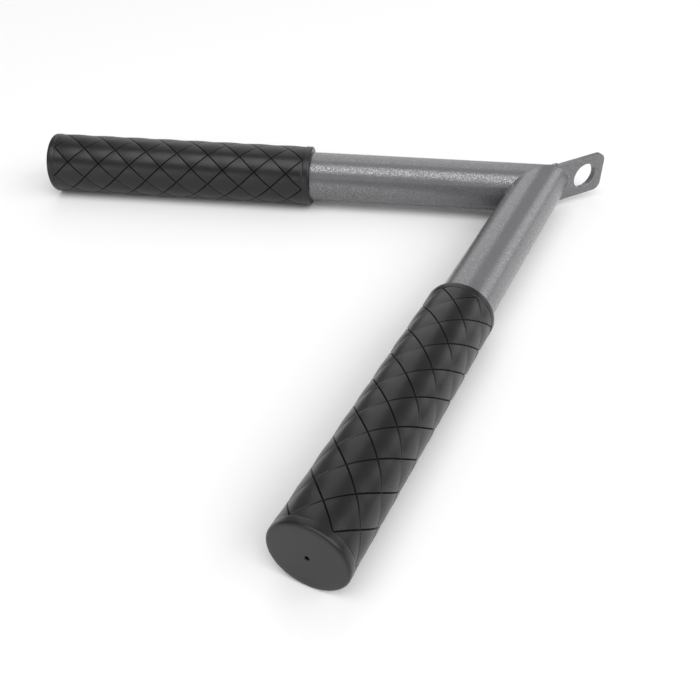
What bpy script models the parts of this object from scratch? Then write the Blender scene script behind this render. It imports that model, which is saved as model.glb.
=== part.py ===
"""V-shaped pull handle: two mitred steel tubes, an eye plate at their point and a rubber grip on each arm.

All lengths are in metres. +X runs across the two arms, +Y from their open end towards the eye plate, and +Z
is up. The handle lies on its two grips, with the origin on the floor under the middle of its outline box.

Each arm is built in a frame of its own: X across the arm, Y up, and Z along the arm, away from the point
where the two axes meet. The plate and the welds are built in the joint's frame, whose origin is that point.
"""

import math

import bmesh
import bpy
from mathutils import Matrix, Vector

MM = 0.001

# Gap between pieces that touch on the real handle.
CLEARANCE = 0.3 * MM
# How far a cutting shape runs past the surface that it opens.
CUT_MARGIN = 2.0 * MM

# The V.
ARM_ANGLE = math.radians(35.56)  # between each arm and the plane of symmetry
ARM_LENGTH = 263.4 * MM  # from the crossing of the axes to the closed end of the grip

# Round tubes.
TUBE_RADIUS = 12.7 * MM
TUBE_WALL = 2.0 * MM
TUBE_SIDES = 40

# Eye plate: flat bar standing on edge in the plane of symmetry.
PLATE_THICKNESS = 3.0 * MM
PLATE_HEIGHT = 21.5 * MM
PLATE_LENGTH = 40.0 * MM
PLATE_REACH = 21.4 * MM  # what stands out past the tip of the mitre
PLATE_CORNER = 4.5 * MM
PLATE_CORNER_STEPS = 6
PLATE_EDGE_BREAK = 0.3 * MM
PLATE_EDGE_ANGLE = math.radians(60)  # edges sharper than this are broken
HOLE_RADIUS = 6.9 * MM
HOLE_SETBACK = 12.6 * MM  # from the plate's outer end to the middle of the hole
HOLE_SIDES = 40

# Bead that fills the bevelled mitre and is ground flush, but for a stop beside the plate.
SEAM_HALF_WIDTH = 1.2 * MM
SEAM_DEPTH = 1.2 * MM
SEAM_CROWN = 0.1 * MM
SEAM_STOP_HEIGHT = 0.9 * MM
SEAM_STOP_LENGTH = 2.6 * MM
SEAM_STATIONS = 56

# Fillet beads between the plate's faces and the tubes.
FILLET_LEG = 1.7 * MM
FILLET_CROWN = 0.35 * MM
FILLET_SETBACK = 1.0 * MM  # from the plate's long edges to the bead's ends
FILLET_END_SHARE = 0.45  # size of the bead's ends, as a share of its middle
FILLET_FULLNESS = 8  # power of the taper: higher keeps the bead full for longer
FILLET_STATIONS = 14
CROWN_STEPS = 4

# Moulded rubber grips.
GRIP_LENGTH = 143.1 * MM
GRIP_WALL = 2.8 * MM
GRIP_END_WALL = 3.5 * MM
GRIP_BORE_SIDES = 36
INNER_COLLAR = 3.8 * MM
OUTER_COLLAR = 3.7 * MM
INNER_RIM_ROUND = 0.6 * MM
OUTER_RIM_ROUND = 1.1 * MM
RIM_STEPS = 2
VENT_RADIUS = 0.9 * MM
VENT_SIDES = 10

# Diamond pattern: helical grooves of both hands, with a crowned pad between them.
GROOVE_STARTS = 6
DIAMOND_LENGTH = 16.9 * MM  # along the arm, before it is fitted to a whole number of diamonds
GROOVE_WIDTH = 0.9 * MM
GROOVE_DEPTH = 0.55 * MM
PAD_CROWN = 0.3 * MM
PAD_FLATNESS = 4  # power of the crown: higher keeps more of the pad level
PAD_STEPS = 3
RING_GROOVE_WIDTH = 0.7 * MM
RING_GROOVE_DEPTH = 0.35 * MM

SHARP_ANGLE = math.radians(32)
MERGE_DISTANCE = 0.001 * MM

# Worked out from the values above.
GRIP_RADIUS = TUBE_RADIUS + GRIP_WALL
GRIP_START = ARM_LENGTH - GRIP_LENGTH
BORE_END = ARM_LENGTH - GRIP_END_WALL
PATTERN_START = GRIP_START + INNER_COLLAR
PATTERN_END = ARM_LENGTH - OUTER_COLLAR
PAD_EDGE_RADIUS = GRIP_RADIUS - PAD_CROWN
PLATE_HALF = PLATE_THICKNESS / 2
MITRE_REACH = TUBE_RADIUS / math.sin(ARM_ANGLE)  # from the crossing of the axes to the tip of the mitre
PLATE_END = MITRE_REACH + PLATE_REACH
PLATE_ROOT = PLATE_END - PLATE_LENGTH  # the plate's inner end, inside the tubes
HOLE_POSITION = PLATE_END - HOLE_SETBACK

LEFT = -1
RIGHT = 1


# ---------------------------------------------------------------- scene and object helpers


def clear_scene():
    """Removes every object, so that the file holds the handle alone."""
    for item in list(bpy.data.objects):
        bpy.data.objects.remove(item)


def add_empty(name, parent=None):
    """An empty that carries other objects."""
    empty = bpy.data.objects.new(name, None)
    bpy.context.scene.collection.objects.link(empty)
    empty.parent = parent
    return empty


def add_object(name, mesh_builder, parent, material=None):
    """Turns a finished bmesh into a smooth-shaded object under its parent."""
    bmesh.ops.recalc_face_normals(mesh_builder, faces=mesh_builder.faces)
    mesh = bpy.data.meshes.new(name)
    mesh_builder.to_mesh(mesh)
    mesh_builder.free()
    mesh.shade_smooth()
    mesh.set_sharp_from_angle(angle=SHARP_ANGLE)
    item = bpy.data.objects.new(name, mesh)
    bpy.context.scene.collection.objects.link(item)
    item.parent = parent
    if material:
        mesh.materials.append(material)
    return item


def add_cutter(name, mesh_builder, parent):
    """An object that only shapes others."""
    cutter = add_object(name, mesh_builder, parent)
    cutter.hide_render = True
    cutter.display_type = "WIRE"
    return cutter


def cut(item, cutter):
    """Takes the cutter's volume out of the item."""
    boolean = item.modifiers.new("cut_" + cutter.name, "BOOLEAN")
    boolean.operation = "DIFFERENCE"
    boolean.solver = "EXACT"
    boolean.object = cutter


def add_material(name, colour, roughness, metallic=0.0):
    """A Principled material; the colour is linear."""
    material = bpy.data.materials.new(name)
    material.use_nodes = True
    shader = material.node_tree.nodes["Principled BSDF"]
    shader.inputs["Base Color"].default_value = (*colour, 1.0)
    shader.inputs["Roughness"].default_value = roughness
    shader.inputs["Metallic"].default_value = metallic
    return material


def powder_coat(name):
    """Grey textured powder coat over steel."""
    return add_material(name, (0.22, 0.22, 0.23), 0.42, 0.3)


def black_rubber(name):
    """Black moulded rubber, slightly polished by the mould."""
    return add_material(name, (0.035, 0.035, 0.037), 0.55)


# ---------------------------------------------------------------- mesh helpers


def box(builder, low, high):
    """A box between two corners."""
    low, high = Vector(low), Vector(high)
    size = high - low
    place = Matrix.Translation((low + high) / 2) @ Matrix.Diagonal((*size, 1))
    bmesh.ops.create_cube(builder, size=1, matrix=place)


def rod(builder, radius, start, end, sides):
    """A solid round bar along Z with flat ends."""
    middle = Matrix.Translation((0, 0, (start + end) / 2))
    bmesh.ops.create_cone(
        builder,
        cap_ends=True,
        segments=sides,
        radius1=radius,
        radius2=radius,
        depth=end - start,
        matrix=middle,
    )


def skin(builder, sections, closed):
    """Joins equal rings of points into one solid; an open run gets a cap at each end."""
    rings = [[builder.verts.new(point) for point in section] for section in sections]
    following = rings[1:] + rings[:1] if closed else rings[1:]
    for ring, after in zip(rings, following):
        for i, vert in enumerate(ring):
            j = (i + 1) % len(ring)
            builder.faces.new((vert, ring[j], after[j], after[i]))
    if not closed:
        builder.faces.new(rings[0])
        builder.faces.new(rings[-1])


def circle(radius, place, sides):
    """Points round the Z axis, at a place along it."""
    turns = (2 * math.pi * i / sides for i in range(sides))
    return [Vector((radius * math.cos(turn), radius * math.sin(turn), place)) for turn in turns]


def crown_points(start, end, outward, height):
    """Points from start to end over a parabolic crown, both ends included."""
    points = []
    for step in range(CROWN_STEPS + 1):
        share = step / CROWN_STEPS
        points.append(start.lerp(end, share) + outward * height * 4 * share * (1 - share))
    return points


# ---------------------------------------------------------------- shape of the joint


def arm_direction(side):
    """Unit vector along an arm, away from the point of the V, in the joint's frame."""
    return Vector((side * math.sin(ARM_ANGLE), -math.cos(ARM_ANGLE), 0))


def tube_normal(point, side):
    """Outward normal of an arm's tube at a point of its surface, in the joint's frame."""
    along = arm_direction(side)
    return (point - along * point.dot(along)).normalized()


def seam_frame(angle):
    """The mitre's edge at an angle round it: point, outward direction and the two ways off along the tubes.

    Angle 0 is the outer tip, a quarter turn is the top and a half turn is the inner corner.
    """
    point = Vector((0, MITRE_REACH * math.cos(angle), TUBE_RADIUS * math.sin(angle)))
    run = Vector((0, -MITRE_REACH * math.sin(angle), TUBE_RADIUS * math.cos(angle))).normalized()
    normal = tube_normal(point, RIGHT)
    outward = Vector((0, normal.y, normal.z)).normalized()
    off_right = normal.cross(run)
    if off_right.x < 0:
        off_right.negate()
    off_left = Vector((-off_right.x, off_right.y, off_right.z))
    return point, outward, off_left, off_right


def seam_stop(angle):
    """0 along the seam and 1 where the bead stops beside the plate."""
    height = min(PLATE_HEIGHT / 2 + CLEARANCE, TUBE_RADIUS)
    plate_angle = math.asin(height / TUBE_RADIUS)
    from_tip = min(angle, 2 * math.pi - angle)
    distance = abs(from_tip - plate_angle) * TUBE_RADIUS
    nearness = max(0.0, 1 - distance / SEAM_STOP_LENGTH)
    return nearness * nearness * (3 - 2 * nearness)


def seam_bead_section(angle):
    """Outline across the mitre bead: toe, crown, toe and root."""
    point, outward, off_left, off_right = seam_frame(angle)
    left_toe = point + off_left * SEAM_HALF_WIDTH
    right_toe = point + off_right * SEAM_HALF_WIDTH
    rise = max(0.0, -off_right.dot(outward)) * SEAM_HALF_WIDTH
    crown = SEAM_CROWN + SEAM_STOP_HEIGHT * seam_stop(angle) + rise
    return crown_points(left_toe, right_toe, outward, crown) + [point - outward * SEAM_DEPTH]


def seam_groove_section(angle):
    """Outline across the bevel that the mitre bead fills, open above the tubes' surface."""
    point, outward, off_left, off_right = seam_frame(angle)
    slope = math.hypot(SEAM_HALF_WIDTH, SEAM_DEPTH)
    half_width = SEAM_HALF_WIDTH + CLEARANCE * slope / SEAM_DEPTH
    depth = SEAM_DEPTH + CLEARANCE * slope / SEAM_HALF_WIDTH
    lift = outward * CUT_MARGIN
    left_toe = point + off_left * half_width
    right_toe = point + off_right * half_width
    return [left_toe, left_toe + lift, right_toe + lift, right_toe, point - outward * depth]


def all_round(section):
    """The section at every station round the mitre, none of them on the plane of a tube's edge."""
    return [section(2 * math.pi * (i + 0.5) / SEAM_STATIONS) for i in range(SEAM_STATIONS)]


def fillet_section(height, side, taper):
    """Outline across the bead between the plate's face and a tube, at a height over the axis."""
    half_chord = math.sqrt(TUBE_RADIUS**2 - height**2)
    reach = (half_chord - PLATE_HALF * math.cos(ARM_ANGLE)) / math.sin(ARM_ANGLE)
    slope = -height / half_chord / math.sin(ARM_ANGLE)
    corner = Vector((side * PLATE_HALF, reach, height))
    run = Vector((0, slope, 1)).normalized()
    face_normal = Vector((side, 0, 0))
    normal = tube_normal(corner, side)
    along_plate = face_normal.cross(run)
    if along_plate.y < 0:
        along_plate.negate()
    along_tube = normal.cross(run)
    if along_tube.dot(face_normal) < 0:
        along_tube.negate()
    opening = along_plate.angle(along_tube)
    root = corner + (along_plate + along_tube) * CLEARANCE / math.sin(opening)
    outward = (along_plate + along_tube).normalized()
    plate_toe = root + along_plate * FILLET_LEG * taper
    tube_toe = root + along_tube * FILLET_LEG * taper
    return crown_points(plate_toe, tube_toe, outward, FILLET_CROWN * taper) + [root]


# ---------------------------------------------------------------- the pieces


def plate_slot(joint):
    """The room that the plate takes inside the joint, with its clearance."""
    builder = bmesh.new()
    half_width = PLATE_HALF + CLEARANCE
    half_height = PLATE_HEIGHT / 2 + CLEARANCE
    low = (-half_width, PLATE_ROOT - CLEARANCE, -half_height)
    high = (half_width, PLATE_END + CUT_MARGIN, half_height)
    box(builder, low, high)
    return add_cutter("plate_slot", builder, joint)


def seam_groove(joint):
    """The bevel round the mitre."""
    builder = bmesh.new()
    skin(builder, all_round(seam_groove_section), closed=True)
    return add_cutter("seam_groove", builder, joint)


def tube(name, side, arm, slot, groove):
    """A round tube, cut to the mitre plane, bevelled for its weld and slotted for the plate."""
    start = -MITRE_REACH
    end = BORE_END - CLEARANCE
    bore_radius = TUBE_RADIUS - TUBE_WALL
    outline = ((TUBE_RADIUS, start), (TUBE_RADIUS, end), (bore_radius, end), (bore_radius, start))
    builder = bmesh.new()
    skin(builder, [circle(radius, place, TUBE_SIDES) for radius, place in outline], closed=True)
    # The plane of symmetry, seen from the arm's own frame.
    across = Vector((side * math.cos(ARM_ANGLE), 0, math.sin(ARM_ANGLE)))
    mitre = bmesh.ops.bisect_plane(
        builder,
        geom=builder.verts[:] + builder.edges[:] + builder.faces[:],
        plane_co=across * CLEARANCE / 2,
        plane_no=across,
        clear_inner=True,
    )
    mitre_edges = [element for element in mitre["geom_cut"] if isinstance(element, bmesh.types.BMEdge)]
    bmesh.ops.bridge_loops(builder, edges=mitre_edges)
    item = add_object(name, builder, arm, powder_coat(name + "_powder_coat"))
    cut(item, slot)
    cut(item, groove)
    return item


def eye_plate(joint):
    """Flat bar with rounded outer corners and a hole for a hook or shackle."""
    builder = bmesh.new()
    low = (-PLATE_HALF, PLATE_ROOT, -PLATE_HEIGHT / 2)
    high = (PLATE_HALF, PLATE_END, PLATE_HEIGHT / 2)
    box(builder, low, high)
    corners = [
        edge
        for edge in builder.edges
        if all(vert.co.y > PLATE_END - MERGE_DISTANCE for vert in edge.verts)
        and abs(edge.verts[0].co.z - edge.verts[1].co.z) < MERGE_DISTANCE
    ]
    bmesh.ops.bevel(
        builder,
        geom=corners,
        offset=PLATE_CORNER,
        offset_type="OFFSET",
        segments=PLATE_CORNER_STEPS,
        profile=0.5,
        affect="EDGES",
    )
    item = add_object("eye_plate", builder, joint, powder_coat("plate_powder_coat"))

    builder = bmesh.new()
    rod(builder, HOLE_RADIUS, -PLATE_HALF - CUT_MARGIN, PLATE_HALF + CUT_MARGIN, HOLE_SIDES)
    hole = add_cutter("eye_hole", builder, joint)
    hole.rotation_euler = (0, math.pi / 2, 0)
    hole.location = (0, HOLE_POSITION, 0)
    cut(item, hole)

    edge_break = item.modifiers.new("edge_break", "BEVEL")
    edge_break.width = PLATE_EDGE_BREAK
    edge_break.segments = 1
    edge_break.limit_method = "ANGLE"
    edge_break.angle_limit = PLATE_EDGE_ANGLE
    return item


def mitre_weld(joint, slot):
    """The bead round the mitre, interrupted by the plate."""
    builder = bmesh.new()
    skin(builder, all_round(seam_bead_section), closed=True)
    item = add_object("mitre_weld", builder, joint, powder_coat("mitre_weld_powder_coat"))
    cut(item, slot)
    return item


def eye_weld(name, side, joint):
    """The fillet bead between one face of the plate and its tube."""
    half_run = min(PLATE_HEIGHT / 2, TUBE_RADIUS) - FILLET_SETBACK
    sections = []
    for station in range(FILLET_STATIONS + 1):
        share = 2 * station / FILLET_STATIONS - 1
        taper = FILLET_END_SHARE + (1 - FILLET_END_SHARE) * math.sqrt(1 - share**FILLET_FULLNESS)
        sections.append(fillet_section(half_run * share, side, taper))
    builder = bmesh.new()
    skin(builder, sections, closed=False)
    return add_object(name, builder, joint, powder_coat(name + "_powder_coat"))


def pad_point(across, along, groove_share):
    """A point of one diamond's grid: both shares of its sides and the radius there.

    Shares of 0 and 1 are the middles of the four grooves round the pad. A groove's middle has no point of its
    own beside a crossing, so such a point slides into the crossing.
    """
    if min(across, along, 1 - across, 1 - along) > 0:
        crown = 1.0
        for share in (across, along):
            crown *= 1 - abs(2 * share - 1) ** PAD_FLATNESS
        return across, along, PAD_EDGE_RADIUS + PAD_CROWN * crown
    shares = [round(share) if min(share, 1 - share) <= groove_share else share for share in (across, along)]
    return *shares, PAD_EDGE_RADIUS - GROOVE_DEPTH


def add_diamond(builder, column, middle, length, groove_share):
    """One pad with half of each groove round it, rolled out flat."""
    half_angle = math.pi / GROOVE_STARTS
    steps = [step / PAD_STEPS for step in range(1, PAD_STEPS)]
    lines = [0.0, groove_share, *steps, 1 - groove_share, 1.0]
    grid = []
    for across in lines:
        strip = []
        for along in lines:
            ahead, aside, radius = pad_point(across, along, groove_share)
            angle = half_angle * (column + ahead - aside)
            place = middle + length / 2 * (ahead + aside - 1)
            strip.append(builder.verts.new((angle, place, radius)))
        grid.append(strip)
    for i in range(len(lines) - 1):
        for j in range(len(lines) - 1):
            near, far = grid[i][j], grid[i + 1][j + 1]
            builder.faces.new((near, grid[i + 1][j], far))
            builder.faces.new((near, far, grid[i][j + 1]))


def diamond_sheet():
    """The diamond pattern rolled out flat: X is the angle round the grip, Y its length and Z its radius."""
    pattern_length = PATTERN_END - PATTERN_START
    rows = max(1, round(pattern_length / DIAMOND_LENGTH))
    length = pattern_length / rows
    half_width = math.pi / GROOVE_STARTS * PAD_EDGE_RADIUS
    groove_share = GROOVE_WIDTH / 2 * math.hypot(length / 2, half_width) / (length * half_width)
    builder = bmesh.new()
    for column in range(2 * GROOVE_STARTS):
        # Every other column of diamonds is half a diamond further along, and holds one diamond less.
        shifted = column % 2 == 0
        for row in range(rows if shifted else rows + 1):
            middle = PATTERN_START + (row + shifted / 2) * length
            add_diamond(builder, column, middle, length, groove_share)
    bmesh.ops.remove_doubles(builder, verts=builder.verts, dist=MERGE_DISTANCE)
    for place, outside in ((PATTERN_START, -1), (PATTERN_END, 1)):
        # The pattern ends here, and the second cut makes the pad's edge beside the ring groove.
        for position, trim in ((place, True), (place - outside * RING_GROOVE_WIDTH / 2, False)):
            bmesh.ops.bisect_plane(
                builder,
                geom=builder.verts[:] + builder.edges[:] + builder.faces[:],
                dist=MERGE_DISTANCE,
                plane_co=(0, position, 0),
                plane_no=(0, outside, 0),
                clear_outer=trim,
            )
    ring_radius = PAD_EDGE_RADIUS - RING_GROOVE_DEPTH
    for vert in builder.verts:
        at_end = min(abs(vert.co.y - PATTERN_START), abs(vert.co.y - PATTERN_END)) < MERGE_DISTANCE
        if at_end:
            vert.co.z = min(vert.co.z, ring_radius)
    return builder


def extend(builder, edges, place, radius):
    """Extrudes a ring of edges to a new place along the arm and a new radius, and returns the new ring."""
    grown = bmesh.ops.extrude_edge_only(builder, edges=edges)["geom"]
    for element in grown:
        if isinstance(element, bmesh.types.BMVert):
            angle = math.atan2(element.co.y, element.co.x)
            element.co = (radius * math.cos(angle), radius * math.sin(angle), place)
    return [element for element in grown if isinstance(element, bmesh.types.BMEdge)]


def grip_end(builder, edges, collar_start, end, rim_round, outside):
    """Adds a plain collar, a rounded rim and a closed end to the grip's body."""
    edges = extend(builder, edges, collar_start + outside * RING_GROOVE_WIDTH / 2, GRIP_RADIUS)
    for step in range(RIM_STEPS + 1):
        turn = math.pi / 2 * step / RIM_STEPS
        place = end - outside * rim_round * (1 - math.sin(turn))
        edges = extend(builder, edges, place, GRIP_RADIUS - rim_round * (1 - math.cos(turn)))
    bmesh.ops.edgeloop_fill(builder, edges=edges)


def grip_body():
    """The grip's outside as one closed solid along Z."""
    builder = diamond_sheet()
    for vert in builder.verts:
        angle, place, radius = vert.co
        vert.co = (radius * math.cos(angle), radius * math.sin(angle), place)
    bmesh.ops.remove_doubles(builder, verts=builder.verts, dist=MERGE_DISTANCE)
    border = [edge for edge in builder.edges if edge.is_boundary]
    middle = (PATTERN_START + PATTERN_END) / 2
    inner = [edge for edge in border if edge.verts[0].co.z < middle]
    outer = [edge for edge in border if edge.verts[0].co.z > middle]
    grip_end(builder, inner, PATTERN_START, GRIP_START, INNER_RIM_ROUND, -1)
    grip_end(builder, outer, PATTERN_END, ARM_LENGTH, OUTER_RIM_ROUND, 1)
    return builder


def grip(name, arm):
    """A moulded rubber sleeve with a closed end, bored for the tube and vented through its end."""
    item = add_object(name, grip_body(), arm, black_rubber(name + "_rubber"))
    bores = (
        ("bore", TUBE_RADIUS + CLEARANCE, GRIP_START - CUT_MARGIN, BORE_END, GRIP_BORE_SIDES),
        ("vent", VENT_RADIUS, BORE_END - CUT_MARGIN, ARM_LENGTH + CUT_MARGIN, VENT_SIDES),
    )
    for label, radius, start, end, sides in bores:
        builder = bmesh.new()
        rod(builder, radius, start, end, sides)
        cut(item, add_cutter(f"{name}_{label}", builder, arm))
    return item


# ---------------------------------------------------------------- assembly


def stand_on_origin(carrier, items):
    """Moves the carrier so that the handle rests on Z 0 with the middle of its box over the origin."""
    bpy.context.view_layer.update()
    graph = bpy.context.evaluated_depsgraph_get()
    corners = []
    for item in items:
        shaped = item.evaluated_get(graph)
        corners += [shaped.matrix_world @ vert.co for vert in shaped.data.vertices]
    low = Vector(min(corner[axis] for corner in corners) for axis in range(3))
    high = Vector(max(corner[axis] for corner in corners) for axis in range(3))
    carrier.location -= Vector(((low.x + high.x) / 2, (low.y + high.y) / 2, low.z))
    bpy.context.view_layer.update()


def build():
    """Models the whole handle."""
    clear_scene()
    joint = add_empty("joint_centre")
    slot = plate_slot(joint)
    groove = seam_groove(joint)
    items = [eye_plate(joint), mitre_weld(joint, slot)]
    for label, side in (("left", LEFT), ("right", RIGHT)):
        arm = add_empty(label + "_arm_axis", joint)
        arm.rotation_euler = (math.pi / 2, 0, side * ARM_ANGLE)
        items.append(tube(label + "_tube", side, arm, slot, groove))
        items.append(eye_weld(label + "_eye_weld", side, joint))
        items.append(grip(label + "_grip", arm))
    stand_on_origin(joint, items)


build()
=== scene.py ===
"""Looks of a V-shaped pull handle: a powder-coated steel frame, two moulded grips and the studio round them.

Lengths are in metres, in the frame's own axes: +X runs across the two arms, +Y from their open end towards
the eye plate, and +Z is up. Pieces of an arm are modelled in that arm's frame (X across, Y up, Z along the
arm and away from the joint) and then put in place.
"""

import logging
import math
from collections.abc import Callable, Iterator
from contextlib import contextmanager
from dataclasses import dataclass
from enum import Enum

import bmesh
import bpy
from mathutils import Matrix, Vector


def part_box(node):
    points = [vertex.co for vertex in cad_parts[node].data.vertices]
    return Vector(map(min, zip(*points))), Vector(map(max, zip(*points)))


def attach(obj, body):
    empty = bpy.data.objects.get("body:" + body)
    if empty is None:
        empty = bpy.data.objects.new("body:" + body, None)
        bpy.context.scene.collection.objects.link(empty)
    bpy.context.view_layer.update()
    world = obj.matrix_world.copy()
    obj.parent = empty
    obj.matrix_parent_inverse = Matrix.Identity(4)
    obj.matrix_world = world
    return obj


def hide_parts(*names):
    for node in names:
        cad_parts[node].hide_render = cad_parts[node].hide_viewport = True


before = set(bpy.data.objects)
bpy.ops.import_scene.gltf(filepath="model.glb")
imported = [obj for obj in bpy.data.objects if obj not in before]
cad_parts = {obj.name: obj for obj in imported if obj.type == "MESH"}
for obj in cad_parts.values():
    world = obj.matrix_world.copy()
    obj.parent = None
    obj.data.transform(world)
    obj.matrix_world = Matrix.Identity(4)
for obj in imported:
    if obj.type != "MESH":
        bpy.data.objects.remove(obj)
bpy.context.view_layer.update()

LOG = logging.getLogger("handle")
BODY = "root"
MM = 0.001
MERGE_DISTANCE = 0.001 * MM
SMOOTH_ANGLE = math.radians(35)
SHARP_ANGLE = math.radians(60)
NOISE_RANGE = (0.3, 0.7)  # between which nearly all of a noise lies


class Side(Enum):
    """An arm of the V, with the sign of its X."""

    LEFT = -1
    RIGHT = 1

    @property
    def label(self) -> str:
        """The side's name in lower case."""
        return self.name.lower()


class Slot(Enum):
    """Material slots of the record."""

    COAT = "powder_coat"
    RUBBER = "grip_rubber"


# ---------------------------------------------------------------- modelling helpers


def select_only(item: bpy.types.Object) -> None:
    """Makes one object the only selected one, and the active one.

    Args:
        item: The object to work on.
    """
    bpy.ops.object.select_all(action="DESELECT")
    item.select_set(True)
    bpy.context.view_layer.objects.active = item


@contextmanager
def editing(item: bpy.types.Object) -> Iterator[bmesh.types.BMesh]:
    """Opens an object in edit mode with nothing selected.

    Args:
        item: The mesh object to edit.

    Yields:
        Its edit mesh.
    """
    select_only(item)
    bpy.ops.object.mode_set(mode="EDIT")
    bpy.ops.mesh.select_mode(type="VERT")
    bpy.ops.mesh.select_all(action="DESELECT")
    yield bmesh.from_edit_mesh(item.data)
    bpy.ops.object.mode_set(mode="OBJECT")


def select_where(mesh: bmesh.types.BMesh, wanted: Callable[[Vector], bool]) -> None:
    """Selects exactly the vertices whose place is wanted, with the edges and faces between them.

    Args:
        mesh: An edit mesh.
        wanted: Says whether a place is wanted.
    """
    bpy.ops.mesh.select_all(action="DESELECT")
    for vert in mesh.verts:
        if wanted(vert.co):
            vert.select_set(True)
    mesh.select_flush(True)


def apply_modifier(item: bpy.types.Object, kind: str, **settings: object) -> None:
    """Adds a modifier with its settings and applies it.

    Args:
        item: The object to change.
        kind: Blender's name of the modifier.
        **settings: Its properties.
    """
    select_only(item)
    modifier = item.modifiers.new(kind.lower(), kind)
    for name, value in settings.items():
        setattr(modifier, name, value)
    bpy.ops.object.modifier_apply(modifier=modifier.name)


def cut_away(item: bpy.types.Object, cutter: bpy.types.Object) -> None:
    """Takes a cutter's volume out of an object.

    Args:
        item: The object to cut.
        cutter: The cutter, which stays as it is.
    """
    apply_modifier(item, "BOOLEAN", operation="DIFFERENCE", solver="EXACT", object=cutter)


def close_up(item: bpy.types.Object) -> None:
    """Merges doubles and turns every face outwards.

    Args:
        item: The closed piece to clean.
    """
    with editing(item):
        bpy.ops.mesh.select_all(action="SELECT")
        bpy.ops.mesh.remove_doubles(threshold=MERGE_DISTANCE)
        bpy.ops.mesh.normals_make_consistent(inside=False)


def remove(item: bpy.types.Object) -> None:
    """Deletes an object that has done its work."""
    bpy.data.objects.remove(item)


def new_piece(name: str, points: list[Vector], faces: list[tuple[int, ...]]) -> bpy.types.Object:
    """Makes an object straight from points and faces, for a shape that no operator gives.

    Args:
        name: The object's name.
        points: Its vertices.
        faces: Its faces, as indices of vertices.

    Returns:
        The object.
    """
    mesh = bpy.data.meshes.new(name)
    mesh.from_pydata(points, [], faces)
    item = bpy.data.objects.new(name, mesh)
    bpy.context.scene.collection.objects.link(item)
    return item


def loft(name: str, sections: list[list[Vector]], closed: bool) -> bpy.types.Object:
    """Joins equal outlines into one solid.

    Args:
        name: The object's name.
        sections: The outlines in order, each a ring of points.
        closed: True where the last outline meets the first one again.

    Returns:
        The solid.
    """
    width = len(sections[0])
    faces: list[tuple[int, ...]] = []
    for i in range(len(sections) if closed else len(sections) - 1):
        here, there = i * width, (i + 1) % len(sections) * width
        for j in range(width):
            k = (j + 1) % width
            faces.append((here + j, here + k, there + k, there + j))
    if not closed:
        faces.append(tuple(range(width)))
        faces.append(tuple(range((len(sections) - 1) * width, len(sections) * width)))
    solid = new_piece(name, [point for section in sections for point in section], faces)
    close_up(solid)
    return solid


def finish_piece(
    item: bpy.types.Object, name: str, node: str, material: bpy.types.Material
) -> bpy.types.Object:
    """Names, cleans, shades and dresses a piece, and puts it in the place of its CAD node.

    Args:
        item: The piece, with its place in its mesh.
        name: Its final name.
        node: The CAD node that it stands for.
        material: Its finish.

    Returns:
        The piece.
    """
    item.name = name
    item.data.name = name
    close_up(item)
    select_only(item)
    bpy.ops.object.shade_smooth_by_angle(angle=SMOOTH_ANGLE)
    item.data.materials.clear()
    item.data.materials.append(material)
    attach(item, BODY)
    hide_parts(node)
    LOG.info("%s: %d faces, %s", name, len(item.data.polygons), material.name)
    return item


def bezier(start: Vector, control: Vector, end: Vector, steps: int) -> list[Vector]:
    """Points of a quadratic curve, both ends included.

    Args:
        start: First end.
        control: The point that both ends head for.
        end: Last end.
        steps: How many stretches the curve has.

    Returns:
        The points.
    """
    points = []
    for step in range(steps + 1):
        share = step / steps
        points.append(start.lerp(control, share).lerp(control.lerp(end, share), share))
    return points


# ---------------------------------------------------------------- sizes


@dataclass(frozen=True)
class HandleSizes:
    """Sizes that several pieces share, as on the CAD parts."""

    arm_angle: float = math.radians(35.56)
    arm_length: float = 263.4 * MM
    tube_radius: float = 12.7 * MM
    tube_wall: float = 2.0 * MM
    plate_reach: float = 21.4 * MM
    grip_end_wall: float = 3.5 * MM

    @property
    def mitre_reach(self) -> float:
        """From the crossing of the axes to the tip of the mitre."""
        return self.tube_radius / math.sin(self.arm_angle)

    @property
    def joint(self) -> Vector:
        """The crossing of the two arms' axes, found from the eye plate."""
        low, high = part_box("eye_plate")
        return Vector((0.0, high.y - self.plate_reach - self.mitre_reach, (low.z + high.z) / 2))

    def arm_direction(self, side: Side) -> Vector:
        """Unit vector along an arm, away from the joint."""
        return Vector((side.value * math.sin(self.arm_angle), -math.cos(self.arm_angle), 0.0))

    def arm_frame(self, side: Side) -> Matrix:
        """The matrix that puts an arm's own frame in place."""
        turn = Matrix.Rotation(side.value * self.arm_angle, 4, "Z")
        return Matrix.Translation(self.joint) @ turn @ Matrix.Rotation(math.pi / 2, 4, "X")

    def seam_point(self, angle: float) -> Vector:
        """A point of the mitre's edge from the joint; angle 0 is its outer tip and a quarter turn its top."""
        return Vector((0.0, self.mitre_reach * math.cos(angle), self.tube_radius * math.sin(angle)))

    def toe_shift(self, angle: float, width: float) -> float:
        """How far along a tube lies the line that keeps a width from the mitre's edge.

        Args:
            angle: Angle round the mitre.
            width: Distance square to the edge.

        Returns:
            The distance along the tube.
        """
        run = Vector((0.0, -self.mitre_reach * math.sin(angle), self.tube_radius * math.cos(angle)))
        skew = self.arm_direction(Side.RIGHT).dot(run.normalized())
        return width / math.sqrt(1 - skew * skew)


# ---------------------------------------------------------------- finishes


def linear(colour: str) -> tuple[float, float, float, float]:
    """Turns an sRGB hex colour into linear values.

    Args:
        colour: The colour, such as "#8a8a8c".

    Returns:
        Red, green, blue and alpha.
    """
    channels = [int(colour[i : i + 2], 16) / 255 for i in (1, 3, 5)]
    # The numbers are those of the sRGB standard.
    red, green, blue = (c / 12.92 if c <= 0.04045 else ((c + 0.055) / 1.055) ** 2.4 for c in channels)
    return red, green, blue, 1.0


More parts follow.
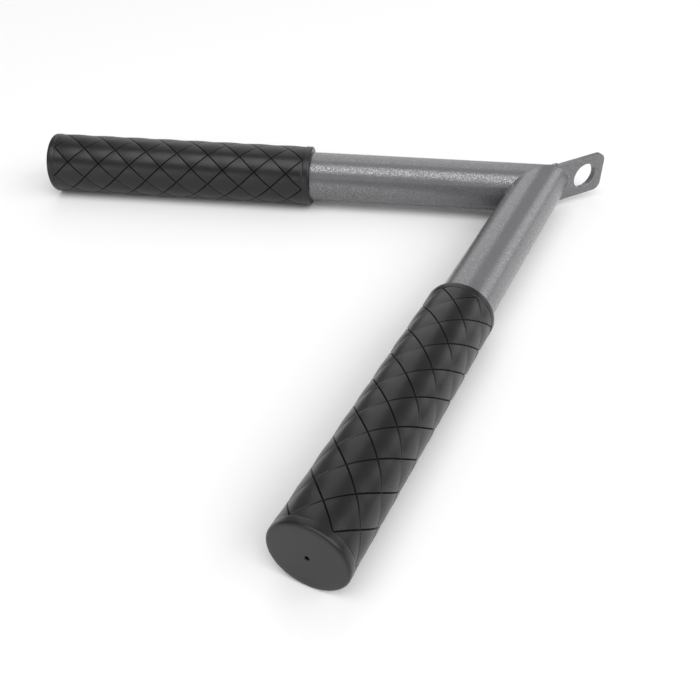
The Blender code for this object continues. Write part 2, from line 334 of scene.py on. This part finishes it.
def add_node(
    tree: bpy.types.NodeTree, kind: str, settings: dict[str, object], inputs: dict[str | int, object]
) -> bpy.types.Node:
    """Adds a shader node.

    Args:
        tree: The tree to add it to.
        kind: Blender's type name of the node.
        settings: The node's own properties.
        inputs: A value, or a socket to link from, for each input by name or place.

    Returns:
        The node.
    """
    node = tree.nodes.new(kind)
    for name, value in settings.items():
        setattr(node, name, value)
    for key, value in inputs.items():
        if isinstance(value, bpy.types.NodeSocket):
            tree.links.new(value, node.inputs[key])
        else:
            node.inputs[key].default_value = value
    return node


def add_noise(
    tree: bpy.types.NodeTree, place: bpy.types.NodeSocket, width: float, detail: float, blend: float = 0.5
) -> bpy.types.NodeSocket:
    """Adds noise in three dimensions.

    Args:
        tree: The tree to add it to.
        place: The socket that says where a point is.
        width: About how wide its lumps are.
        detail: How many finer layers lie over the first one.
        blend: How much each finer layer counts against the one before it.

    Returns:
        The socket of the noise, from 0 to 1.
    """
    inputs = {"Vector": place, "Scale": 1 / width, "Detail": detail, "Roughness": blend}
    return add_node(tree, "ShaderNodeTexNoise", {"noise_dimensions": "3D"}, inputs).outputs["Fac"]


def mix_colours(
    tree: bpy.types.NodeTree, factor: bpy.types.NodeSocket, first: object, second: object
) -> bpy.types.NodeSocket:
    """Adds a node that goes from one colour to another.

    Args:
        tree: The tree to add it to.
        factor: The socket that is 0 for the first colour and 1 for the second.
        first: A colour, or a socket that gives one.
        second: The other one.

    Returns:
        The socket of the mixed colour.
    """
    # The node has sockets for numbers and vectors too, and those for colours come later.
    inputs = {"Factor": factor, 6: first, 7: second}
    return add_node(tree, "ShaderNodeMix", {"data_type": "RGBA"}, inputs).outputs[2]


def mix_shaders(
    tree: bpy.types.NodeTree, factor: bpy.types.NodeSocket, first: bpy.types.Node, second: bpy.types.Node
) -> bpy.types.NodeSocket:
    """Adds a node that goes from one shader to another.

    Args:
        tree: The tree to add it to.
        factor: The socket that is 0 for the first shader and 1 for the second.
        first: A shader.
        second: The other one.

    Returns:
        The socket of the mixed shader.
    """
    inputs = {0: factor, 1: first.outputs[0], 2: second.outputs[0]}
    return add_node(tree, "ShaderNodeMixShader", {}, inputs).outputs[0]


def new_material(name: str) -> tuple[bpy.types.Material, bpy.types.NodeTree, bpy.types.Node]:
    """Starts a material with an empty tree.

    Args:
        name: The material's name.

    Returns:
        The material, its tree and its output node.
    """
    material = bpy.data.materials.new(name)
    material.use_nodes = True
    tree = material.node_tree
    tree.nodes.clear()
    return material, tree, add_node(tree, "ShaderNodeOutputMaterial", {}, {})


@dataclass(frozen=True)
class Finish:
    """What every finish has: a fine grain, and faint patches that shift its colour and its roughness."""

    name: str
    colour: str
    pale: str
    roughness: float
    roughness_spread: float
    grain_width: float
    grain_height: float
    grain_detail: float
    mottle_width: float
    mottle_detail: float
    grain_blend: float = 0.5

    def _grain(
        self, tree: bpy.types.NodeTree, place: bpy.types.NodeSocket
    ) -> tuple[bpy.types.NodeSocket, bpy.types.NodeSocket]:
        """Adds the grain.

        Args:
            tree: The tree to add it to.
            place: The socket that says where a point is.

        Returns:
            The sockets of its height and of the normal that it gives.
        """
        height = add_noise(tree, place, self.grain_width, self.grain_detail, self.grain_blend)
        inputs = {"Height": height, "Strength": 1.0, "Distance": self.grain_height}
        return height, add_node(tree, "ShaderNodeBump", {}, inputs).outputs["Normal"]

    def _mottle(
        self, tree: bpy.types.NodeTree, place: bpy.types.NodeSocket
    ) -> tuple[bpy.types.NodeSocket, bpy.types.NodeSocket]:
        """Adds the faint patches.

        Args:
            tree: The tree to add them to.
            place: The socket that says where a point is.

        Returns:
            The sockets of the colour and of the roughness.
        """
        mottle = add_noise(tree, place, self.mottle_width, self.mottle_detail)
        roughness = add_node(
            tree,
            "ShaderNodeMapRange",
            {},
            {
                "Value": mottle,
                "From Min": NOISE_RANGE[0],
                "From Max": NOISE_RANGE[1],
                "To Min": self.roughness - self.roughness_spread,
                "To Max": self.roughness + self.roughness_spread,
            },
        )
        colour = mix_colours(tree, mottle, linear(self.colour), linear(self.pale))
        return colour, roughness.outputs["Result"]


@dataclass(frozen=True)
class PowderCoat(Finish):
    """Fine-textured polyester powder coat with a little aluminium flake, sprayed on steel and baked.

    The baked grains give a pebbled skin that glitters in a lamp's reflection and looks plain grey elsewhere.
    The flake lies in the grains' crests, so these take on some of the metal's own reflection.
    """

    name: str = "flake_grey_powder_coat_baked"
    colour: str = "#626264"
    pale: str = "#69696a"
    roughness: float = 0.22
    roughness_spread: float = 0.03
    grain_width: float = 0.65 * MM  # real grains are about 0.3 mm: drawn coarser, so that they show
    grain_height: float = 0.06 * MM
    grain_detail: float = 1.0
    grain_blend: float = 0.6
    mottle_width: float = 14.0 * MM
    mottle_detail: float = 3.0
    flake: str = "#939396"
    flake_metal: float = 0.75  # metallic share where flakes face out
    flake_range: tuple[float, float] = (0.42, 0.64)  # heights of the grain between which flakes come out

    def material(self) -> bpy.types.Material:
        """Builds the node material.

        Returns:
            The material.
        """
        material, tree, output = new_material(self.name)
        place = add_node(tree, "ShaderNodeTexCoord", {}, {}).outputs["Object"]
        grain, normal = self._grain(tree, place)
        colour, roughness = self._mottle(tree, place)
        flakes = add_node(
            tree,
            "ShaderNodeMapRange",
            {},
            {
                "Value": grain,
                "From Min": self.flake_range[0],
                "From Max": self.flake_range[1],
                "To Max": self.flake_metal,
            },
        ).outputs["Result"]
        shader = add_node(
            tree,
            "ShaderNodeBsdfPrincipled",
            {},
            {
                "Base Color": mix_colours(tree, flakes, colour, linear(self.flake)),
                "Metallic": flakes,
                "Roughness": roughness,
                "Normal": normal,
            },
        )
        tree.links.new(shader.outputs["BSDF"], output.inputs["Surface"])
        return material


@dataclass(frozen=True)
class MouldedRubber(Finish):
    """Black nitrile rubber, compression moulded in a blasted steel mould.

    The mould leaves a fine skin that dulls and spreads every highlight and is nearly black away from them.
    """

    name: str = "black_nitrile_rubber_moulded"
    colour: str = "#131314"
    pale: str = "#18181a"
    roughness: float = 0.33
    roughness_spread: float = 0.04
    gloss: float = 0.42  # a little under the usual 0.5, as carbon-filled rubber is
    grain_width: float = 0.7 * MM  # the mould's blasting is about 0.1 mm: drawn coarser, so that it shows
    grain_height: float = 0.03 * MM
    grain_detail: float = 2.0
    mottle_width: float = 9.0 * MM
    mottle_detail: float = 4.0

    def material(self) -> bpy.types.Material:
        """Builds the node material.

        Returns:
            The material.
        """
        material, tree, output = new_material(self.name)
        place = add_node(tree, "ShaderNodeTexCoord", {}, {}).outputs["Object"]
        normal = self._grain(tree, place)[1]
        colour, roughness = self._mottle(tree, place)
        shader = add_node(
            tree,
            "ShaderNodeBsdfPrincipled",
            {},
            {
                "Base Color": colour,
                "Roughness": roughness,
                "Specular IOR Level": self.gloss,
                "Normal": normal,
            },
        )
        tree.links.new(shader.outputs["BSDF"], output.inputs["Surface"])
        return material


# ---------------------------------------------------------------- the steel frame


@dataclass
class SteelFrame:
    """The welded frame: two mitred tubes, the bead round the mitre, the eye plate and its two fillets."""

    sizes: HandleSizes
    coat: bpy.types.Material
    tube_sides: int = 160
    bead_width: float = 1.2 * MM  # from the mitre's edge to the bead's toe, at the outer tip
    crotch_width: float = 0.6 * MM  # the same at the inner corner
    bead_depth: float = 1.2 * MM
    bead_steps: int = 10
    stop_height: float = 1.2 * MM
    stop_length: float = 2.2 * MM
    stop_setback: float = 0.8 * MM  # from the plate's long edge to the crest of the stop
    fillet_leg: float = 1.7 * MM
    fillet_setback: float = 1.0 * MM  # from the plate's long edges to the ends of the bead
    fillet_stations: int = 60
    fillet_fullness: int = 8  # the higher, the later the bead tapers towards its ends
    fillet_end_share: float = 0.25  # what is left of the leg at the ends
    plate_thickness: float = 3.0 * MM
    plate_corner: float = 4.5 * MM
    plate_corner_steps: int = 14
    hole_radius: float = 6.9 * MM
    hole_setback: float = 12.6 * MM
    hole_sides: int = 96
    edge_break: float = 0.35 * MM
    edge_break_steps: int = 3
    seat_gap: float = 0.2 * MM  # shows as the thin dark line where the plate enters the joint

    def build(self) -> None:
        """Builds and dresses every piece of the frame."""
        slot = self._slot()
        for side in Side:
            self._tube(side, slot)
        self._mitre_bead(slot)
        remove(slot)
        self._plate()
        for side in Side:
            self._fillet(side)

    def _slot(self) -> bpy.types.Object:
        """The room that the plate takes in the joint, with the seat's gap round it.

        Returns:
            A cutter of that shape.
        """
        low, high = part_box("eye_plate")
        low = low - Vector.Fill(3, self.seat_gap)
        high = high + Vector.Fill(3, self.seat_gap)
        bpy.ops.mesh.primitive_cube_add(size=1, location=(low + high) / 2, scale=high - low)
        slot = bpy.context.object
        bpy.ops.object.transform_apply(location=True, rotation=True, scale=True)
        return slot

    def _tube(self, side: Side, slot: bpy.types.Object) -> bpy.types.Object:
        """One tube, cut to the mitre, bevelled for the bead and slotted for the plate.

        Args:
            side: The arm that it is in.
            slot: The plate's room.

        Returns:
            The piece.
        """
        sizes = self.sizes
        start, end = -sizes.mitre_reach, sizes.arm_length - sizes.grip_end_wall
        bore_share = 1 - sizes.tube_wall / sizes.tube_radius
        bpy.ops.object.select_all(action="DESELECT")
        bpy.ops.mesh.primitive_cylinder_add(
            vertices=self.tube_sides,
            radius=sizes.tube_radius,
            depth=end - start,
            end_fill_type="NOTHING",
            location=(0, 0, (start + end) / 2),
        )
        tube = bpy.context.object
        bpy.ops.object.transform_apply(location=True, rotation=True, scale=True)
        across = Vector((side.value * math.cos(sizes.arm_angle), 0, math.sin(sizes.arm_angle)))
        with editing(tube) as mesh:
            bpy.ops.mesh.select_all(action="SELECT")
            bpy.ops.mesh.bisect(
                plane_co=(0, 0, 0), plane_no=across, clear_inner=True, threshold=MERGE_DISTANCE
            )
            select_where(mesh, lambda point: abs(point.dot(across)) < MERGE_DISTANCE)
            bevel = [vert for vert in mesh.verts if vert.select]
            shifts = []
            for vert in bevel:
                angle = math.atan2(vert.co.y, side.value * vert.co.x)
                shifts.append(sizes.toe_shift(angle, self._bead_width(angle)))
            bpy.ops.mesh.extrude_edges_move()
            for vert in mesh.verts:
                if vert.select:
                    vert.co *= bore_share
            for vert, shift in zip(bevel, shifts):
                vert.co.z += shift
            select_where(mesh, lambda point: point.z > end - MERGE_DISTANCE)
            for to_mitre in (False, True):
                bpy.ops.mesh.extrude_edges_move()
                for vert in mesh.verts:
                    if vert.select and to_mitre:
                        vert.co.z = -vert.co.x * across.x / across.z
                    elif vert.select:
                        vert.co.xy *= bore_share
        close_up(tube)
        tube.matrix_world = sizes.arm_frame(side)
        select_only(tube)
        bpy.ops.object.transform_apply(location=True, rotation=True, scale=True)
        cut_away(tube, slot)
        return finish_piece(tube, f"{side.label}_coated_tube", f"{side.label}_tube", self.coat)

    def _bead_width(self, angle: float) -> float:
        """Distance from the mitre's edge to the bead's toe; angle 0 is the outer tip."""
        return self.crotch_width + (self.bead_width - self.crotch_width) * (1 + math.cos(angle)) / 2

    def _stop(self, angle: float) -> float:
        """How much of the bead's stop there is: 0 along the mitre, and up to 1 beside the plate.

        Args:
            angle: Angle round the mitre.

        Returns:
            The share.
        """
        low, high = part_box("eye_plate")
        plate_angle = math.asin((high.z - low.z) / 2 / self.sizes.tube_radius)
        from_tip = min(angle, 2 * math.pi - angle)
        distance = abs((from_tip - plate_angle) * self.sizes.tube_radius - self.stop_setback)
        nearness = max(0.0, 1 - distance / self.stop_length)
        return nearness * nearness * (3 - 2 * nearness)

    def _mitre_bead(self, slot: bpy.types.Object) -> bpy.types.Object:
        """The bead round the mitre: it runs out level on both tubes and rounds the edge between them.

        It is lofted from its own sections, because its shape changes all the way round.

        Args:
            slot: The plate's room.

        Returns:
            The piece.
        """
        sizes = self.sizes
        sections = []
        for station in range(self.tube_sides):
            angle = 2 * math.pi * station / self.tube_sides
            edge = sizes.joint + sizes.seam_point(angle)
            shift = sizes.toe_shift(angle, self._bead_width(angle))
            toes = [edge + sizes.arm_direction(side) * shift for side in Side]
            outward = Vector((0.0, math.cos(angle), math.sin(angle)))
            section = bezier(toes[0], edge, toes[1], self.bead_steps)
            for step, point in enumerate(section):
                share = step / self.bead_steps
                point += outward * self.stop_height * self._stop(angle) * (4 * share * (1 - share)) ** 2
            sections.append([*section, edge - outward * self.bead_depth])
        bead = loft("mitre_bead", sections, closed=True)
        cut_away(bead, slot)
        return finish_piece(bead, "mitre_weld_bead", "mitre_weld", self.coat)

    def _plate(self) -> bpy.types.Object:
        """The eye plate: flat bar with rounded outer corners, a drilled hole and broken edges.

        Returns:
            The piece.
        """
        low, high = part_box("eye_plate")
        bpy.ops.object.select_all(action="DESELECT")
        bpy.ops.mesh.primitive_cube_add(size=1, location=(low + high) / 2, scale=high - low)
        plate = bpy.context.object
        bpy.ops.object.transform_apply(location=True, rotation=True, scale=True)
        with editing(plate) as mesh:
            for edge in mesh.edges:
                ends = [vert.co for vert in edge.verts]
                outer = all(point.y > high.y - MERGE_DISTANCE for point in ends)
                edge.select_set(outer and abs(ends[0].z - ends[1].z) < MERGE_DISTANCE)
            bpy.ops.mesh.bevel(offset=self.plate_corner, segments=self.plate_corner_steps, affect="EDGES")
        centre = ((low.x + high.x) / 2, high.y - self.hole_setback, (low.z + high.z) / 2)
        bpy.ops.object.select_all(action="DESELECT")
        bpy.ops.mesh.primitive_cylinder_add(
            vertices=self.hole_sides,
            radius=self.hole_radius,
            depth=2 * self.plate_thickness,
            location=centre,
            rotation=(0, math.pi / 2, 0),
        )
        drill = bpy.context.object
        cut_away(plate, drill)
        remove(drill)
        apply_modifier(
            plate,
            "BEVEL",
            width=self.edge_break,
            segments=self.edge_break_steps,
            limit_method="ANGLE",
            angle_limit=SHARP_ANGLE,
        )
        return finish_piece(plate, "eye_plate_coated", "eye_plate", self.coat)

    def _fillet(self, side: Side) -> bpy.types.Object:
        """The fillet bead between one face of the plate and its tube, lofted from its own sections.

        Args:
            side: The arm that it joins to the plate.

        Returns:
            The piece.
        """
        sizes = self.sizes
        low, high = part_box("eye_plate")
        half_plate = (high.x - low.x) / 2
        half_run = (high.z - low.z) / 2 - self.fillet_setback
        along = sizes.arm_direction(side)
        sections = []
        for station in range(self.fillet_stations + 1):
            share = 2 * station / self.fillet_stations - 1
            height = half_run * share
            end_share = self.fillet_end_share
            taper = end_share + (1 - end_share) * math.sqrt(1 - share**self.fillet_fullness)
            half_chord = math.sqrt(sizes.tube_radius**2 - height**2)
            reach = (half_chord - half_plate * math.cos(sizes.arm_angle)) / math.sin(sizes.arm_angle)
            corner = sizes.joint + Vector((side.value * half_plate, reach, height))
            run = Vector((0.0, -height / half_chord / math.sin(sizes.arm_angle), 1.0)).normalized()
            out_plate = Vector((0.0, run.z, -run.y))
            leg = self.fillet_leg * taper
            tube_toe = corner + along * leg / math.sqrt(1 - along.dot(run) ** 2)
            plate_toe = corner + out_plate * leg
            sections.append([*bezier(plate_toe, corner, tube_toe, self.bead_steps), corner])
        fillet = loft("eye_fillet", sections, closed=False)
        name = f"{side.label}_eye_weld"
        return finish_piece(fillet, f"{name}_bead", name, self.coat)


# ---------------------------------------------------------------- the grips


@dataclass
class DiamondGrip:
    """A moulded sleeve with crossed helical grooves, a collar at each end and a vented closed end."""

    side: Side
    sizes: HandleSizes
    rubber: bpy.types.Material
    length: float = 143.1 * MM
    wall: float = 2.8 * MM
    inner_collar: float = 3.8 * MM
    outer_collar: float = 3.7 * MM
    inner_round: float = 0.7 * MM
    outer_round: float = 1.15 * MM
    round_steps: int = 6
    vent_radius: float = 0.85 * MM
    vent_lip: float = 0.25  # how far the vent's lip is broken, as a share of its radius
    vent_land: float = 2.0  # radius of the ring that holds the end flat round the vent, in vent radii
    starts: int = 6
    rows: int = 8
    groove_width: float = 0.64 * MM
    groove_depth: float = 0.54 * MM
    groove_steps: int = 3
    pad_crown: float = 0.28 * MM
    pad_power: float = 2.0  # 2 is an even crown; the higher, the flatter the pad's middle
    pad_steps: int = 10
    ring_width: float = 0.9 * MM
    ring_depth: float = 0.14 * MM
    ring_steps: int = 3

    @property
    def radius(self) -> float:
        """Outer radius of the collars and of the pads' crests."""
        return self.sizes.tube_radius + self.wall

    @property
    def edge_radius(self) -> float:
        """Radius of the pads' edges."""
        return self.radius - self.pad_crown

    @property
    def start(self) -> float:
        """Where the sleeve starts along the arm."""
        return self.sizes.arm_length - self.length

    @property
    def pattern(self) -> tuple[float, float]:
        """Where the diamonds start and end along the arm."""
        return self.start + self.inner_collar, self.sizes.arm_length - self.outer_collar

    @property
    def row_length(self) -> float:
        """Length of a diamond along the arm."""
        return (self.pattern[1] - self.pattern[0]) / self.rows

    @property
    def half_width(self) -> float:
        """Half of a diamond's width round the arm, at the pads' edges."""
        return math.pi / self.starts * self.edge_radius

    @property
    def groove_share(self) -> float:
        """Half a groove's width, as a share of a diamond's side."""
        diagonal = math.hypot(self.row_length / 2, self.half_width)
        return self.groove_width / 2 * diagonal / (self.row_length * self.half_width)

    def build(self) -> bpy.types.Object:
        """Builds and dresses the grip.

        Returns:
            The piece.
        """
        sleeve = self._flat_pads()
        self._roll(sleeve)
        self._close(sleeve)
        sleeve.matrix_world = self.sizes.arm_frame(self.side)
        select_only(sleeve)
        bpy.ops.object.transform_apply(location=True, rotation=True, scale=True)
        name = f"{self.side.label}_grip"
        return finish_piece(sleeve, f"{name}_sleeve", name, self.rubber)

    def _grid_shares(self) -> list[float]:
        """Grid lines across a diamond: close over the half groove at each side, even over the pad.

        Returns:
            Their places, as shares of the diamond's side.
        """
        groove = self.groove_share
        edge = [groove * step / self.groove_steps for step in range(self.groove_steps)]
        pad = [groove + (1 - 2 * groove) * step / self.pad_steps for step in range(self.pad_steps + 1)]
        return [*edge, *pad, *(1 - share for share in reversed(edge))]

    def _pad_height(self, across: float, along: float) -> float:
        """Radius of the surface at a place in a diamond.

        Args:
            across: Share of the diamond's one side, from 0 to 1.
            along: Share of its other side.

        Returns:
            The radius.
        """
        crown = 1.0
        for share in (across, along):
            crown *= 1 - abs(2 * share - 1) ** self.pad_power
        nearest = min(across, along, 1 - across, 1 - along) / self.groove_share
        sink = max(0.0, 1 - nearest)
        return self.edge_radius + self.pad_crown * crown - self.groove_depth * sink

    def _flat_pads(self) -> bpy.types.Object:
        """The whole pattern laid out flat: X is the way round the arm, Y along it and Z the radius.

        Returns:
            The open sheet of pads.
        """
        shares = self._grid_shares()
        count = len(shares) - 1
        bpy.ops.object.select_all(action="DESELECT")
        bpy.ops.mesh.primitive_grid_add(x_subdivisions=count, y_subdivisions=count, size=1)
        sheet = bpy.context.object
        middle = self.pattern[0] + self.row_length / 2
        for vert in sheet.data.vertices:
            across = shares[round((vert.co.x + 0.5) * count)]
            along = shares[round((vert.co.y + 0.5) * count)]
            vert.co = (
                self.half_width * (across - along),
                middle + self.row_length / 2 * (across + along - 1),
                self._pad_height(across, along),
            )
        beside = (self.half_width, -self.row_length / 2, 0)
        with editing(sheet):
            bpy.ops.mesh.select_all(action="SELECT")
            bpy.ops.mesh.duplicate_move(TRANSFORM_OT_translate={"value": beside})
        repeats = ((self.starts, (2 * self.half_width, 0, 0)), (self.rows + 1, (0, self.row_length, 0)))
        for copies, offset in repeats:
            apply_modifier(
                sheet,
                "ARRAY",
                count=copies,
                use_relative_offset=False,
                use_constant_offset=True,
                constant_offset_displace=offset,
            )
        ends = ((self.pattern[0], -1), (self.pattern[1], 1))
        with editing(sheet):
            bpy.ops.mesh.select_all(action="SELECT")
            bpy.ops.mesh.remove_doubles(threshold=MERGE_DISTANCE)
            for place, outside in ends:
                for step in range(self.ring_steps + 1):
                    inward = self.ring_width / 2 * step / self.ring_steps
                    bpy.ops.mesh.select_all(action="SELECT")
                    bpy.ops.mesh.bisect(
                        plane_co=(0, place - outside * inward, 0),
                        plane_no=(0, outside, 0),
                        clear_outer=step == 0,
                        threshold=MERGE_DISTANCE,
                    )
        return sheet

    def _ring_radius(self, distance: float) -> float:
        """Radius of the ring groove at a distance from its middle."""
        share = min(1.0, distance / (self.ring_width / 2))
        return self.radius - self.ring_depth * (1 - share * share) ** 2

    def _roll(self, sheet: bpy.types.Object) -> None:
        """Rolls the flat sheet into a tube along Z and sinks a ring groove at each end of the pattern.

        Args:
            sheet: The flat sheet.
        """
        for vert in sheet.data.vertices:
            turn = vert.co.x / self.edge_radius
            place = vert.co.y
            distance = min(abs(place - end) for end in self.pattern)
            radius = vert.co.z
            if distance < self.ring_width / 2:
                radius = min(radius, self._ring_radius(distance))
            vert.co = (radius * math.cos(turn), radius * math.sin(turn), place)
        with editing(sheet):
            bpy.ops.mesh.select_all(action="SELECT")
            bpy.ops.mesh.remove_doubles(threshold=MERGE_DISTANCE)

    def _rim(self, end: float, outside: int, rounding: float) -> list[tuple[float, float]]:
        """Places and radii from the ring groove over a rounded rim to the flat end.

        Args:
            end: Where the flat end lies along the arm.
            outside: 1 towards the closed end, -1 towards the joint.
            rounding: The rim's radius.

        Returns:
            A place along the arm and a radius for each ring.
        """
        pattern_end = self.pattern[1] if outside > 0 else self.pattern[0]
        rings = []
        for step in range(1, self.ring_steps + 1):
            distance = self.ring_width / 2 * step / self.ring_steps
            rings.append((pattern_end + outside * distance, self._ring_radius(distance)))
        for step in range(self.round_steps + 1):
            turn = math.pi / 2 * step / self.round_steps
            inset = rounding * (1 - math.cos(turn))
            rings.append((end - outside * rounding * (1 - math.sin(turn)), self.radius - inset))
        return rings

    def _close(self, sleeve: bpy.types.Object) -> None:
        """Adds both collars and rims, the vented end and the bore, ring by ring, and joins them inside.

        Args:
            sleeve: The rolled pattern, open at both ends.
        """
        tip = self.sizes.arm_length
        floor = tip - self.sizes.grip_end_wall
        bore = self.sizes.tube_radius
        vent = self.vent_radius
        lip = vent * self.vent_lip
        outer = self._rim(tip, 1, self.outer_round)
        outer += [(tip, bore), (tip, vent * self.vent_land), (tip, vent + lip), (tip - lip, vent)]
        outer += [(floor, vent), (floor, bore)]
        inner = self._rim(self.start, -1, self.inner_round) + [(self.start, bore)]
        middle = sum(self.pattern) / 2
        with editing(sleeve) as mesh:
            for rings, far in ((inner, False), (outer, True)):
                for edge in mesh.edges:
                    beyond = (edge.verts[0].co.z > middle) == far
                    edge.select_set(edge.is_boundary and beyond)
                for place, radius in rings:
                    bpy.ops.mesh.extrude_edges_move()
                    for vert in mesh.verts:
                        if vert.select:
                            flat = vert.co.xy.normalized() * radius
                            vert.co = (flat.x, flat.y, place)
                bpy.ops.mesh.select_all(action="DESELECT")
            for edge in mesh.edges:
                edge.select_set(edge.is_boundary)
            bpy.ops.mesh.bridge_edge_loops()


# ---------------------------------------------------------------- the studio


@dataclass(frozen=True)
class Softbox:
    """A soft lamp that faces the handle.

    Bearing and elevation are in degrees, and bearing is counted from +X towards +Y. Radiance sets how bright
    the lamp's face is, whatever its size.
    """

    name: str
    bearing: float
    elevation: float
    width: float
    height: float
    radiance: float
    distance: float = 3.0

    def add(self, target: Vector) -> None:
        """Hangs the lamp.

        Args:
            target: The point that it faces.
        """
        lamp = bpy.data.lights.new(self.name, "AREA")
        lamp.shape = "RECTANGLE"
        lamp.size = self.width
        lamp.size_y = self.height
        lamp.energy = self.radiance * math.pi * self.width * self.height
        item = bpy.data.objects.new(self.name, lamp)
        bpy.context.scene.collection.objects.link(item)
        bearing, elevation = math.radians(self.bearing), math.radians(self.elevation)
        level = math.cos(elevation)
        back = Vector((level * math.cos(bearing), level * math.sin(bearing), math.sin(elevation)))
        item.location = target + back * self.distance
        item.rotation_mode = "QUATERNION"
        item.rotation_quaternion = back.to_track_quat("Z", "Y")
        item.visible_camera = False


@dataclass(frozen=True)
class Studio:
    """A white floor and backdrop, soft lamps and the camera, with its angles in degrees."""

    sizes: HandleSizes
    floor_size: float = 7.0
    floor_colour: str = "#f2f2f2"  # as the eye and the gloss see it
    floor_bounce: str = "#b4b4b4"  # as it lights the handle from below
    backdrop_colour: str = "#ffffff"
    ambient: float = 0.37
    camera_place: tuple[float, float, float] = (308.72 * MM, -284.60 * MM, 227.16 * MM)  # from the joint
    azimuth: float = 61.03
    elevation: float = 39.65
    roll: float = -0.07
    lens: float = 44.61
    clip_start: float = 10 * MM
    softboxes: tuple[Softbox, ...] = (
        Softbox("key_softbox", bearing=-45.0, elevation=67.0, width=2.9, height=1.8, radiance=2.6),
        Softbox("right_softbox", bearing=20.0, elevation=40.0, width=4.0, height=1.8, radiance=2.6),
        Softbox("front_softbox", bearing=-70.0, elevation=11.0, width=3.2, height=0.9, radiance=1.4),
        Softbox("back_right_softbox", bearing=90.0, elevation=16.0, width=1.5, height=1.1, radiance=1.35),
        Softbox("back_left_softbox", bearing=156.0, elevation=38.0, width=1.9, height=3.6, radiance=0.85),
    )

    def build(self) -> None:
        """Sets up the floor, the world, the lamps, the camera and the view transform."""
        self._floor()
        self._world()
        for softbox in self.softboxes:
            softbox.add(self.sizes.joint)
        self._camera()
        bpy.context.scene.view_settings.view_transform = "Standard"

    def _seen(self, tree: bpy.types.NodeTree) -> bpy.types.NodeSocket:
        """A factor that is 1 for what the eye, gloss and glass see, and 0 for the light that falls.

        Args:
            tree: The tree to work in.

        Returns:
            The factor's socket.
        """
        rays = add_node(tree, "ShaderNodeLightPath", {}, {})
        seen = rays.outputs["Is Camera Ray"]
        for name in ("Is Glossy Ray", "Is Transmission Ray"):
            pair = {0: seen, 1: rays.outputs[name]}
            seen = add_node(tree, "ShaderNodeMath", {"operation": "MAXIMUM"}, pair).outputs[0]
        return seen

    def _floor(self) -> None:
        """A plain white floor that keeps the handle's shadow and throws back less light than it shows."""
        bpy.ops.object.select_all(action="DESELECT")
        bpy.ops.mesh.primitive_plane_add(size=self.floor_size)
        floor = bpy.context.object
        floor.name = "studio_floor"
        material, tree, output = new_material("white_paper_sweep")
        bounce = add_node(tree, "ShaderNodeBsdfDiffuse", {}, {"Color": linear(self.floor_bounce)})
        paper = add_node(tree, "ShaderNodeBsdfDiffuse", {}, {"Color": linear(self.floor_colour)})
        mixed = mix_shaders(tree, self._seen(tree), bounce, paper)
        tree.links.new(mixed, output.inputs["Surface"])
        floor.data.materials.append(material)

    def _world(self) -> None:
        """Even light from all round, with a white backdrop that only the camera sees."""
        world = bpy.data.worlds.new("studio_room")
        world.use_nodes = True
        tree = world.node_tree
        tree.nodes.clear()
        white = linear(self.backdrop_colour)
        room = add_node(tree, "ShaderNodeBackground", {}, {"Color": white, "Strength": self.ambient})
        backdrop = add_node(tree, "ShaderNodeBackground", {}, {"Color": white, "Strength": 1.0})
        seen = add_node(tree, "ShaderNodeLightPath", {}, {}).outputs["Is Camera Ray"]
        mixed = mix_shaders(tree, seen, room, backdrop)
        output = add_node(tree, "ShaderNodeOutputWorld", {}, {"Surface": mixed})
        output.is_active_output = True
        bpy.context.scene.world = world

    def _camera(self) -> None:
        """The camera, at the photograph's viewing angle."""
        camera = bpy.data.cameras.new("studio_camera")
        camera.lens = self.lens
        camera.clip_start = self.clip_start
        item = bpy.data.objects.new("studio_camera", camera)
        bpy.context.scene.collection.objects.link(item)
        item.location = self.sizes.joint + Vector(self.camera_place)
        turn = Matrix.Rotation(math.radians(self.azimuth), 3, "Z")
        tilt = Matrix.Rotation(math.radians(90 - self.elevation), 3, "X")
        roll = Matrix.Rotation(math.radians(self.roll), 3, "Z")
        item.rotation_mode = "QUATERNION"
        item.rotation_quaternion = (turn @ tilt @ roll).to_quaternion()
        bpy.context.scene.camera = item


def main() -> None:
    """Builds the handle's pieces and the studio in order."""
    logging.basicConfig(level=logging.INFO, format="%(name)s: %(message)s")
    sizes = HandleSizes()
    SteelFrame(sizes, PowderCoat().material()).build()
    rubber = MouldedRubber().material()
    for side in Side:
        DiamondGrip(side, sizes, rubber).build()
    Studio(sizes).build()


if __name__ == "__main__":
    main()
